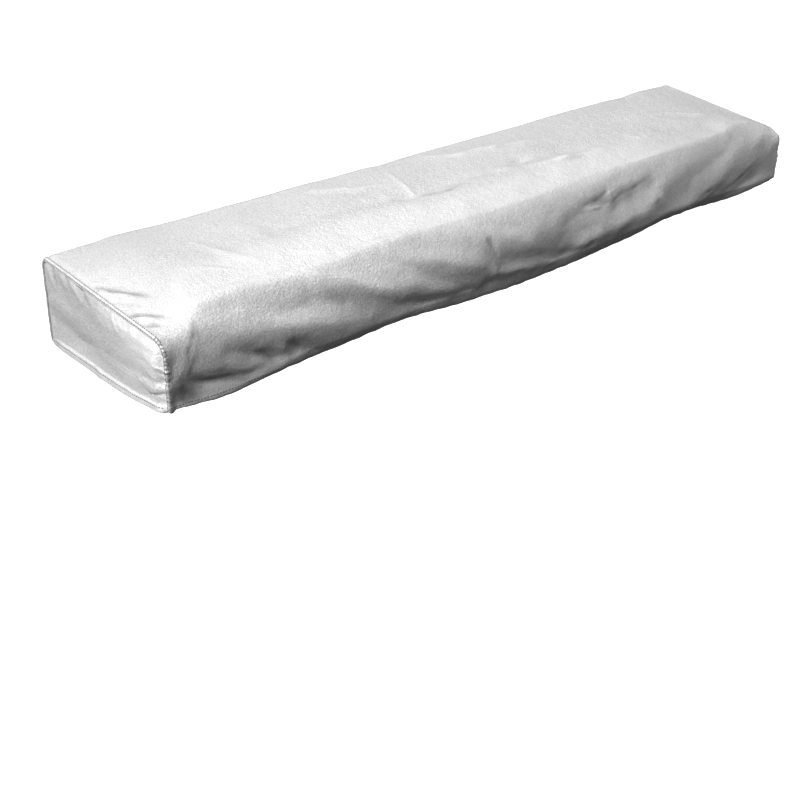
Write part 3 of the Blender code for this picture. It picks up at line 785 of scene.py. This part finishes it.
# The crisp rows of the tucks, here and on the right, are grooves that also give painted shade.
LEFT_TUCKS = fold_runs(
    (6, 6, 0.2, (122, -18, 2), (114, -34, 0.8)),
    (7, 6, 0.2, (86, -21, 1.8), (76, -34, 0.8)),
    (8, 5, 0.2, (62, -24, 2.4), (46, -38, 1)),
    (2.5, 8, 0.3, (-30, -38, 1.4), (-48, -54, 0.6)),
    (2.5, 6, 0.3, (-70, -42, 1.2), (-76, -50, 0.6)),
    (3, 9, 0.3, (-106, -64, 0.8), (-134, -76, 1.8)),
    (2.8, 8, 0.3, (-112, -84, 0.6), (-134, -92, 1.6)),
    (4, 8, 0.3, (-86, -100, 1), (-104, -111, 1.2)),
    (3, 9, 0.3, (-110, -113, 1), (-131, -107, 1)),
    (3.6, 3.6, 0.8, (112, -12, -2), (105, -33, -0.6)),
    (3.4, 3.4, 0.8, (80, -16, -1.2), (70, -24, -0.5)),
    (3.6, 3.6, 0.8, (56, -19, -1.6), (42, -26, -2), (23, -38, -0.6)),
    (2.6, 2.6, 0.8, (-34, -36, -0.5), (-54, -51, -0.3)),
    (2.8, 2.8, 0.8, (-109, -115, -2), (-129, -108, -2.2)),
    (2.6, 2.6, 0.8, (-109, -115, -1.4), (-114, -125, -0.6)),
    (2.6, 2.6, 0.8, (-90, -100, -0.7), (-105, -111, -0.6)),
)
RIGHT_TUCKS = fold_runs(
    (3.5, 3.5, 0.7, (98, -8, -1.8), (90, -34, -0.6)),
    (3.5, 3.5, 0.7, (20, -17, -1.6), (6, -44, -0.6)),
    (3.5, 3.5, 0.7, (-60, -30, -1.6), (-74, -52, -0.6)),
    (3.5, 3.5, 0.6, (-110, -74, -0.8), (-134, -70, -1.8)),
)
print("folds and tucks of the left end:", len(LEFT_FOLDS), len(LEFT_TUCKS))

# %% [markdown]
# The hem of an end panel turns in as sharply as the long panel's does, whatever the patch makes of it, so its
# profile is read from the seam lines by the distance over the cloth. Between the corners it hangs free and open.

# %% Hang the end panels
OPEN_FROM, OPEN_TO, OPEN_FADE = 0.03, 1.10, 0.15        # share of the end's depth over which the hem hangs open
PULL_REACH, CALM = 0.007, 9             # how far a seam's own waves reach in, and the rows they are averaged over


def calm(lines):
    """Seam lines without their small waves: each row is averaged with its neighbours."""
    padded = np.pad(lines, ((0, 0), (CALM // 2, CALM // 2)), mode="edge")
    return sum(padded[:, k:k + lines.shape[1]] for k in range(CALM)) / CALM


def hung_end(side):
    """An end's patch with the profile of its upright seams, the distances on it, and the seam lines round it."""
    patch, s, front, top, back = end_patch(side)
    from_hem = cloth_from_hem(patch)
    upright, hung = 0.0, 0.0
    pulls = []
    for (line, line_v), share in ((front, 1 - s), (back, s)):
        up = np.abs(line_v - line_v[0])
        profile = np.interp(from_hem, up, line[:, 0])
        upright = upright + share * float(np.interp(HEM_REACH, up, line[:, 0]))
        hung = hung + share * calm(profile)
        pulls.append((profile - calm(profile)) * np.exp(-((1 - share) * DEPTH / PULL_REACH) ** 2))
    kept = 1 - ease(s / OPEN_FROM) * ease((OPEN_TO - s) / OPEN_FADE)
    patch[:, :, 0] = np.where(from_hem < HEM_REACH, upright + (hung - upright) * kept, hung) + sum(pulls)
    return patch, s, from_hem, ((front, True), (top, False), (back, True))


hung_left = hung_end(-1)[0]
print("left end reaches", round(1000 * float(np.ptp(hung_left[:, :, 0]))), "mm along the cover")

# %% [markdown]
# Over that come the end's folds and tucks, the puckers of its seam, which run on from those on the other side of
# the stitches, and its hem. The hem's upper fold makes a step and its free edge flares out a little. The end has
# painted light too: a painted highlight near the front and painted shade near the back.

# %% Make the end panels
STRAY_END = 0.003                       # how far folds stray
END_FADE, TUCK_RISE = 0.014, 0.007      # lengths over which folds start beside a seam, and the cloth rises from it
HEM_STEP, HEM_STEP_AT, STEP_SLOPE = 0.0018, 0.0115, 0.0030      # the step's height, its place and its slope
HEM_FLARE = 0.0016                      # how far the hem's edge stands out
FREE_FRONT, FREE_BACK = 0.06, 0.12      # share of the end's depth over which the hem comes free at each corner
END_PAINTED_HIGHLIGHT, HIGHLIGHT_DEEP = 0.80, (-0.010, -0.080)        # how much brighter its painted highlight is, and where over the end's depth
END_PAINTED_SHADE, SHADE_DEEP = 0.20, (-0.030, 0.090)         # and how much darker its painted shade is
End = namedtuple("End", "piece grid direction from_hem")


def end_panel(name, side, folds, tucks):
    """A finished end, with its grid, outward directions and distances from the hem for the stitches."""
    patch, s, from_hem, seams = hung_end(side)
    like = np.zeros_like(patch)
    like[:, :, 0] = side
    direction = surface_directions(patch, like)
    y, z = patch[:, :, 1], patch[:, :, 2] - EDGE_HEIGHT
    relief = np.zeros_like(y)
    nearest = np.full_like(y, 1.0)
    for (line, line_v), upright in seams:
        beside = line[None] if upright else line[:, None]
        along = np.broadcast_to(line_v[None] if upright else line_v[:, None], y.shape)
        far = np.linalg.norm(patch - beside, axis=2)
        relief += pucker_height(puckers[side], np.maximum(far - TUCK, 0.0), along, LEAN_UNDER)
        nearest = np.minimum(nearest, far)
    stray_y, stray_z = (STRAY_END * uneven(y, z, size=0.05, seed=seed) for seed in (61, 62))
    relief += fold_height(folds, y + stray_y, z + stray_z) * ease((nearest - TUCK) / END_FADE)
    relief += fold_height(tucks, y, z) * ease((nearest - 0.5 * TUCK) / TUCK)
    relief += SLACK * uneven(y, z, size=0.07, seed=63 + side)
    relief += RUMPLE * uneven(y, z, size=0.03, seed=66 + side)
    free = ease(s / FREE_FRONT) * ease((1 - s) / FREE_BACK)
    relief += HEM_STEP * free * ease((HEM_STEP_AT - from_hem) / STEP_SLOPE)
    relief += HEM_FLARE * free * np.clip(1 - from_hem / HEM_STEP_AT, 0.0, 1.0)
    relief += hem_relief(from_hem, y, 71 + side)
    relief = relief * ease(nearest / TUCK_RISE) + CLOTH * ease((nearest - TUCK) / TUCK_RISE)
    grid = patch + direction * relief[:, :, None]
    # Painted light: a painted highlight towards the front of the end and painted shade towards the back.
    painted_light_gradient = END_PAINTED_HIGHLIGHT * ramp(y, *HIGHLIGHT_DEEP) - END_PAINTED_SHADE * ramp(y, *SHADE_DEEP)
    painted_tone = np.clip(painted_light_tone(tucks, y, z) + painted_light_gradient, -1.0, 1.0)
    return End(cloth_shell(name, grid, like, np.dstack([y, z]), painted_tone), grid, direction, from_hem)


ends = {side: end_panel("end_cloth_" + word, side, folds, tucks) for (side, word), folds, tucks in
        zip(SIDES, (LEFT_FOLDS, RIGHT_FOLDS), (LEFT_TUCKS, RIGHT_TUCKS))}

# %% [markdown]
# ## Stitches
# A topstitched row is hundreds of short threads, each sunk at both ends. They follow a line and they repeat, so
# Geometry Nodes make them: the line is cut into equal steps, a small thread is set on each and turned along the
# line, and a little unevenness comes from a fixed seed. The tree's inputs are its sizes, so one tree sews every
# row, and its result is turned into a plain mesh.

# %% A tree that sews a row
BEAD = {"Segments": 6, "Rings": 5, "Radius": 0.5}       # a thread before it's stretched
LEAST_STRETCH, MOST_STRETCH = 0.85, 1.1                 # of a thread's length


def sewing_tree():
    """A node tree that sets threads along curves."""
    tree = bpy.data.node_groups.new("sewn_row", "GeometryNodeTree")
    face = tree.interface
    face.new_socket("Rows", in_out="INPUT", socket_type="NodeSocketGeometry")
    for name, kind in (("Pitch", "Float"), ("Length", "Float"), ("Width", "Float"), ("Seed", "Int"),
                       ("Thread", "Material")):
        face.new_socket(name, in_out="INPUT", socket_type="NodeSocket" + kind)
    face.new_socket("Stitches", in_out="OUTPUT", socket_type="NodeSocketGeometry")

    def node(kind, settings=None, **values):
        made = tree.nodes.new(kind)
        for key, value in (settings or {}).items():
            setattr(made, key, value)
        for key, value in values.items():
            socket = made.inputs[key.replace("_", " ")]
            if isinstance(value, bpy.types.NodeSocket):
                tree.links.new(value, socket)
            else:
                socket.default_value = value
        return made

    given = tree.nodes.new("NodeGroupInput").outputs
    steps = node("GeometryNodeResampleCurve", {"mode": "LENGTH"}, Curve=given["Rows"], Length=given["Pitch"])
    tangent = node("GeometryNodeInputTangent").outputs["Tangent"]
    along = node("FunctionNodeAlignRotationToVector", {"axis": "X"}, Vector=tangent).outputs["Rotation"]
    size = node("ShaderNodeCombineXYZ", X=given["Length"], Y=given["Width"], Z=given["Width"]).outputs["Vector"]
    bead = node("GeometryNodeMeshUVSphere", **BEAD).outputs["Mesh"]
    thread = node("GeometryNodeTransform", Geometry=bead, Scale=size).outputs["Geometry"]
    draw = node("FunctionNodeRandomValue", {"data_type": "FLOAT"}, Seed=given["Seed"])
    draw.inputs[2].default_value, draw.inputs[3].default_value = LEAST_STRETCH, MOST_STRETCH
    stretch = node("ShaderNodeCombineXYZ", X=draw.outputs[1], Y=1.0, Z=1.0).outputs["Vector"]
    sewn = node("GeometryNodeInstanceOnPoints", Points=steps.outputs["Curve"], Instance=thread,
                Rotation=along, Scale=stretch).outputs["Instances"]
    real = node("GeometryNodeRealizeInstances", Geometry=sewn).outputs["Geometry"]
    smooth = node("GeometryNodeSetShadeSmooth", Geometry=real).outputs["Geometry"]
    coloured = node("GeometryNodeSetMaterial", Geometry=smooth, Material=given["Thread"]).outputs["Geometry"]
    tree.links.new(coloured, tree.nodes.new("NodeGroupOutput").inputs["Stitches"])
    return tree


row_sewing = sewing_tree()
print("sewing tree:", len(row_sewing.nodes), "nodes")

# %% [markdown]
# Every row is a line on the finished cloth, so it's read from the grids: two rows down each seam strip, and one
# round the hem. The threads lie half sunk in their groove.

# %% Sew the seams and the hems
THREAD_LIFT = 0.00015
STITCHES = {"Pitch": 0.0046, "Length": 0.0030, "Width": 0.0013}
SEAM_SEED, END_HEM_SEED, LONG_HEM_SEED = 5, 6, 8
SEAM_SKIP, END_SKIP, LONG_SKIP = 3, 6, 16       # points of the grid left unsewn at each end of a row
thread_grey = bpy.data.materials.new("thread_grey")


def long_row(distance, side):
    """The line on the long panel at a distance from its cut edge."""
    column = int(np.argmin(np.abs(along_places - side * (RIM - distance))))
    return (long_outer + long_directions * THREAD_LIFT)[column][SEAM_SKIP:-SEAM_SKIP]


def hem_row_of(grid, direction, from_edge, skip):
    """The line at the hem's stitch row, read column by column."""
    lifted = grid + direction * THREAD_LIFT
    return np.array([[np.interp(HEM_ROW, distance, column[:, k]) for k in range(3)]
                     for column, distance in zip(lifted[skip:-skip], from_edge[skip:-skip])])


def sew(name, rows, seed):
    """A mesh of threads along these rows."""
    curve = bpy.data.curves.new(name + "_lines", "CURVE")
    curve.dimensions = "3D"
    for row in rows:
        spline = curve.splines.new("POLY")
        spline.points.add(len(row) - 1)
        spline.points.foreach_set("co", np.column_stack([row, np.ones(len(row))]).astype(np.float32).ravel())
    lines = add_object(name + "_lines", curve)
    modifier = lines.modifiers.new("sewn_row", "NODES")
    modifier.node_group = row_sewing
    named = {item.name: item.identifier for item in row_sewing.interface.items_tree if item.in_out == "INPUT"}
    for key, value in {**STITCHES, "Seed": seed, "Thread": thread_grey}.items():
        modifier[named[key]] = value
    shown = lines.evaluated_get(bpy.context.evaluated_depsgraph_get())
    mesh = bpy.data.meshes.new_from_object(shown)
    mesh.name = name
    lines.modifiers.remove(modifier)
    bpy.data.objects.remove(lines)
    return add_piece(name, mesh)


seam_stitches = {side: sew("seam_stitches_" + word, [long_row(row, side) for row in (SEAM_ROW_1, SEAM_ROW_2)],
                           SEAM_SEED) for side, word in SIDES}
end_hem_stitches = {side: sew("hem_stitches_" + word, [hem_row_of(*ends[side][1:], END_SKIP)], END_HEM_SEED)
                    for side, word in SIDES}
long_hem_stitches = sew("hem_stitches_long", [
    hem_row_of(long_outer, long_directions, from_front, LONG_SKIP),
    hem_row_of(long_outer[:, ::-1], long_directions[:, ::-1], from_back[:, ::-1], LONG_SKIP)], LONG_HEM_SEED)

# %% [markdown]
# ## Silver cloth
# The cloth is a fine plain weave with a silvery face. Up close it shows crossing threads, from a step away an even
# grain, and over a panel a faint cloudiness where the coating is thinner. A photograph could be wrapped on it, but
# a pattern made by shader nodes has no edge and no size limit. The small class below lets shader sums be written
# as ordinary Python sums, and the functions after it make the nodes that are needed more than once.

# %% Shader sums as Python sums
class Shade:
    """A node tree's value, with the usual operators."""

    def __init__(self, tree, socket):
        self.tree, self.socket = tree, socket

    def maths(self, operation, *others):
        node = self.tree.nodes.new("ShaderNodeMath")
        node.operation = operation
        for socket, value in zip(node.inputs, (self, *others)):
            if isinstance(value, Shade):
                self.tree.links.new(value.socket, socket)
            else:
                socket.default_value = value
        return Shade(self.tree, node.outputs["Value"])

    def __add__(self, other):
        return self.maths("ADD", other)

    def __mul__(self, other):
        return self.maths("MULTIPLY", other)

    def __sub__(self, other):
        return self.maths("SUBTRACT", other)

    def __rsub__(self, other):
        return (self * -1.0) + other

    __radd__ = __add__
    __rmul__ = __mul__


def shader_node(tree, kind, settings=None, values=None, output=0):
    """Any other node: its settings first, then the values or links of its sockets."""
    node = tree.nodes.new(kind)
    for key, value in (settings or {}).items():
        setattr(node, key, value)
    for key, value in (values or {}).items():
        if isinstance(value, Shade):
            tree.links.new(value.socket, node.inputs[key])
        else:
            node.inputs[key].default_value = value
    return Shade(tree, node.outputs[output])


def mixed(tree, share, first, second):
    """The first colour, with a share of the second over it."""
    return shader_node(tree, "ShaderNodeMix", {"data_type": "RGBA"}, {0: share, 6: first, 7: second}, 2)


def clouds(tree, place, scale, detail, roughness=0.5):
    """Soft noise between 0 and 1."""
    return shader_node(tree, "ShaderNodeTexNoise", {"noise_dimensions": "3D"},
                       {"Vector": place, "Scale": scale, "Detail": detail, "Roughness": roughness})


def grey(value):
    return (value, value, value, 1.0)


# %% [markdown]
# The weave follows the flat pattern through the UV map, and its height feeds a bump, with the soft crumple of
# handled cloth below it. The cloudiness goes to the colour and the roughness. Painted shade darkens the colour down
# in the two stitch rows of a seam, and in the little pleats that the thread pulls across the strip between them,
# which are deepest on the upper part of the front corners. Last comes the painted light stored on the mesh.

# %% Silver cloth, woven
WEAVE_PITCH = 0.0009
# The last three colours are a painted highlight, painted shade, and painted shade down in the stitch rows and
# pleats.
SILVER, DULL_SILVER, PAINTED_HIGHLIGHT, PAINTED_SHADE, ROW_PAINTED_SHADE = (grey(value) for value in (0.93, 0.68, 0.98, 0.36, 0.16))
HIGHLIGHT_SHARE, SHADE_SHARE = 0.9, 0.7     # how much of a full painted highlight and of full painted shade shows
SLUB, CRUMPLE, HAZE = (380.0, 2.0, 0.6), (60.0, 4.0, 0.55), (9.0, 3.0)     # noise: scale, detail, roughness
GRAIN, WRINKLE = (430.0, 2.0, 0.7), (150.0, 2.0, 0.6)
GRAIN_SHADE, HAZE_SHADE = 3.4, 0.5      # how strongly they dull the colour
ROUGHNESS, HAZE_ROUGH, GRAIN_ROUGH, METALLIC = 0.30, 0.16, 0.10, 0.25
WEAVE_HEIGHT, SLUB_HEIGHT, WRINKLE_HEIGHT, CRUMPLE_HEIGHT = 0.00006, 0.00100, 0.00080, 0.00100
SUNK_DEPTH = 0.00030
ROW_BAND, ROW_DARK = 0.0011, 0.35       # half the width of a stitch row's painted shade line, and how dark it is
PLEAT_PITCH, PLEAT_BAND, DARKEST = 0.0056, 0.0046, 0.90
PLEATS_TO, PLEATS_DEEP, SHALLOW = 0.112, 0.055, 0.35    # how far up they go, where they get deep, the share below


def silver_cloth():
    """The cloth's material: colour, roughness and bump from one pattern."""
    material = bpy.data.materials.new("silver_cloth")
    material.use_nodes = True
    tree = material.node_tree
    shader = tree.nodes["Principled BSDF"]
    pattern = shader_node(tree, "ShaderNodeUVMap", {"uv_map": "pattern"})
    u, v = (shader_node(tree, "ShaderNodeSeparateXYZ", None, {0: pattern}, axis) for axis in ("X", "Y"))
    place = shader_node(tree, "ShaderNodeTexCoord", output="Object")
    slub, crumple, haze, grain, wrinkle = (clouds(tree, place, *noise) for noise in
                                           (SLUB, CRUMPLE, HAZE, GRAIN, WRINKLE))

    def band(place, middle, half_width):
        """1 along a line in the pattern and 0 from half_width away."""
        return ((place - middle).maths("ABSOLUTE") * (-1.0 / half_width) + 1.0).maths("MAXIMUM", 0.0)

    def wave(place, pitch):
        return (place * (2 * math.pi / pitch)).maths("SINE")

    weave = (wave(u, WEAVE_PITCH) * wave(v, WEAVE_PITCH)).maths("MULTIPLY_ADD", 0.5, 0.5)
    colour = mixed(tree, (grain - 0.5) * GRAIN_SHADE + (haze - 0.5) * HAZE_SHADE + 0.5, SILVER, DULL_SILVER)
    to_edge = RIM - u.maths("ABSOLUTE")
    rows = band(to_edge, SEAM_ROW_1, ROW_BAND) + band(to_edge, SEAM_ROW_2, ROW_BAND)
    deep = v.maths("GREATER_THAN", PLEATS_DEEP) * (1 - SHALLOW) + SHALLOW
    pleats = band(to_edge, (SEAM_ROW_1 + SEAM_ROW_2) / 2, PLEAT_BAND) * wave(v, PLEAT_PITCH).maths("MAXIMUM", 0.0)
    pleats = pleats * v.maths("LESS_THAN", PLEATS_TO) * deep
    # Painted shade: the colour darkens down in the stitch rows and across the pleats, which also sink the bump.
    sunk = (rows * ROW_DARK + pleats).maths("MINIMUM", DARKEST)
    colour = mixed(tree, sunk, colour, ROW_PAINTED_SHADE)
    # The tone stored on the mesh is painted light: a painted highlight above 0 and painted shade below it.
    painted_tone = shader_node(tree, "ShaderNodeAttribute", {"attribute_name": "painted_light_tone"}, output="Fac")
    for side, share, shown in ((1.0, HIGHLIGHT_SHARE, PAINTED_HIGHLIGHT), (-1.0, SHADE_SHARE, PAINTED_SHADE)):
        colour = mixed(tree, (painted_tone * side).maths("MAXIMUM", 0.0) * share, colour, shown)
    tree.links.new(colour.socket, shader.inputs["Base Color"])
    tree.links.new((haze * HAZE_ROUGH + grain * GRAIN_ROUGH + ROUGHNESS).socket, shader.inputs["Roughness"])
    height = weave * WEAVE_HEIGHT + slub * SLUB_HEIGHT + wrinkle * WRINKLE_HEIGHT + crumple * CRUMPLE_HEIGHT
    bump = shader_node(tree, "ShaderNodeBump", None,
                       {"Strength": 1.0, "Distance": 1.0, "Height": height - sunk * SUNK_DEPTH})
    tree.links.new(bump.socket, shader.inputs["Normal"])
    shader.inputs["Metallic"].default_value = METALLIC
    return material


cloth_material = silver_cloth()
for piece in (long_panel, ends[-1].piece, ends[1].piece):
    piece.data.materials.append(cloth_material)
print("cloth material:", len(cloth_material.node_tree.nodes), "nodes")

# %% [markdown]
# ## Thread
# The thread is polyester too. Its colour is much darker than the cloth's: partly the thread's own grey, partly
# painted shade of the groove that it lies in, with a random mottle from its twist.

# %% Grey thread
# The dark and pale thread colours hold painted shade of the groove as well as the thread's own grey.
THREAD_NOISE, DARK_THREAD, PALE_THREAD, THREAD_ROUGHNESS = (900.0, 1.0), grey(0.13), grey(0.22), 0.55
thread_grey.use_nodes = True
thread_tree = thread_grey.node_tree
thread_shader = thread_tree.nodes["Principled BSDF"]
twist = clouds(thread_tree, shader_node(thread_tree, "ShaderNodeTexCoord", output="Object"), *THREAD_NOISE)
thread_colour = mixed(thread_tree, twist, DARK_THREAD, PALE_THREAD)
thread_tree.links.new(thread_colour.socket, thread_shader.inputs["Base Color"])
thread_shader.inputs["Roughness"].default_value = THREAD_ROUGHNESS
print("thread material:", len(thread_tree.nodes), "nodes")

# %% [markdown]
# ## Which piece stands for what
# Each piece of cloth rides on the model's one body and stands for its own solid.

# %% Ride and replace
BODY = "root"
cloth_pieces = ((long_panel, "main_panel"), (ends[-1].piece, "end_panel_left"), (ends[1].piece, "end_panel_right"))
thread_pieces = [*seam_stitches.values(), *end_hem_stitches.values(), long_hem_stitches]
for piece, solid in cloth_pieces:
    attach(piece, BODY)
    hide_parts(solid)
for piece in thread_pieces:
    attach(piece, BODY)
print("pieces:", len(cloth_pieces) + len(thread_pieces))

# %% [markdown]
# ## Floor
# The cover hangs about 0.74 m above the floor. The floor glows a little, as a white sweep does that has lamps of
# its own, and throws no light or shadow on the cloth. A plain square does for that.

# %% Lay the floor
FLOOR_HEIGHT, HALF_FLOOR = -0.872, 30.0
corners = [(x * HALF_FLOOR, y * HALF_FLOOR, FLOOR_HEIGHT) for x, y in ((-1, -1), (1, -1), (1, 1), (-1, 1))]
floor_mesh = bpy.data.meshes.new("floor")
floor_mesh.from_pydata(corners, [], [(0, 1, 2, 3)])
floor = add_object("floor", floor_mesh)
floor_paint = bpy.data.materials.new("floor_paint")
floor_paint.use_nodes = True
floor_shader = floor_paint.node_tree.nodes["Principled BSDF"]
for key, value in (("Base Color", grey(0.9)), ("Roughness", 0.9), ("Emission Color", grey(1.0)),
                   ("Emission Strength", 1.0)):
    floor_shader.inputs[key].default_value = value
floor_mesh.materials.append(floor_paint)
floor.visible_diffuse = floor.visible_glossy = floor.visible_shadow = False

# %% [markdown]
# ## Light
# One big light would model the folds harder than the photograph has them, so the light comes from six far square
# ones: two high keys from the front left and the back left, one from high up at the back for the far top, two low
# ones at the ends that reach under the chin, and a weak one from the back right. A pale sky fills the rest.

# %% Lights and sky
SKY_STRENGTH, BELOW_SKY, SKY_FADE = 0.06, 0.05, (-0.3, 0.2)
LIGHT_DISTANCE, LIGHT_SIZE = 8.0, 2.4
SOFTBOXES = (       # name, azimuth, elevation, brightness
    ("front_key", 210, 45, 0.59),
    ("back_key", 150, 45, 0.41),
    ("high_back", 60, 70, 0.37),
    ("left_low", 180, -4, 0.26),
    ("right_low", 0, -4, 0.08),
    ("right_back", 30, 45, 0.05),
)


def soft_light(name, azimuth, elevation, brightness):
    """A far square light. Its brightness is how bright white cloth that faces it looks, as a share of white."""
    azimuth, elevation = math.radians(azimuth), math.radians(elevation)
    way = Vector((math.cos(elevation) * math.cos(azimuth), math.cos(elevation) * math.sin(azimuth),
                  math.sin(elevation)))
    lamp = bpy.data.lights.new(name, "AREA")
    lamp.size = LIGHT_SIZE
    lamp.energy = brightness * (math.pi * LIGHT_DISTANCE) ** 2
    light = add_object(name, lamp)
    light.location = way * LIGHT_DISTANCE
    light.rotation_euler = (-way).to_track_quat("-Z", "Y").to_euler()


for box in SOFTBOXES:
    soft_light(*box)
sky = bpy.data.worlds.new("sky")
sky.use_nodes = True
background = sky.node_tree.nodes["Background"]
ray = shader_node(sky.node_tree, "ShaderNodeTexCoord", output="Generated")
upward = shader_node(sky.node_tree, "ShaderNodeSeparateXYZ", None, {0: ray}, "Z")
glow = shader_node(sky.node_tree, "ShaderNodeMapRange", {"interpolation_type": "SMOOTHSTEP"},
                   {0: upward, 1: SKY_FADE[0], 2: SKY_FADE[1], 3: BELOW_SKY, 4: SKY_STRENGTH})
sky.node_tree.links.new(glow.socket, background.inputs["Strength"])
background.inputs["Color"].default_value = grey(1.0)
bpy.context.scene.world = sky
bpy.context.scene.view_settings.view_transform = "Standard"
print("lights:", sum(thing.type == "LIGHT" for thing in bpy.context.scene.objects))
